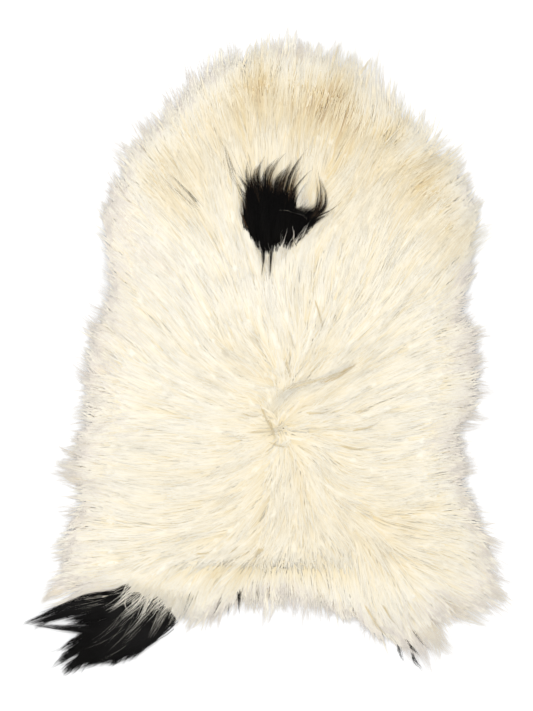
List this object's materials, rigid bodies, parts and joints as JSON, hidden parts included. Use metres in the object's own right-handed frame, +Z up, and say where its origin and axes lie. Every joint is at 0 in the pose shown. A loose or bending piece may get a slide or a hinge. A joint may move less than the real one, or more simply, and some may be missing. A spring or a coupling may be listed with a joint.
{
  "type": "sheepskin rug",
  "caption": "Long-haired cream sheepskin rug in the natural outline of the skin, with a dark patch near the neck and one dark hind leg, laid flat on the floor.",
  "frame": {"origin": "on the floor under the middle of the footprint's box, in the plane of the hide's underside", "axes": "+Y along the back from the tail end to the neck, +X towards the skin's right side seen from above, +Z up out of the wool"},
  "size_m": [0.8012, 1.0345, 0.0539],
  "materials": {
    "tanned_hide": "suede, undyed, tanned flesh side",
    "cream_wool": "long combed wool, cream white, ivory to straw towards the neck and in the gaps between locks",
    "black_wool": "long combed wool, natural black with brown tips"
  },
  "bodies": {
    "root": {"hide": "tanned_hide", "fleece": "cream_wool", "dark_leg_locks": "black_wool"}
  },
  "joints": []
}
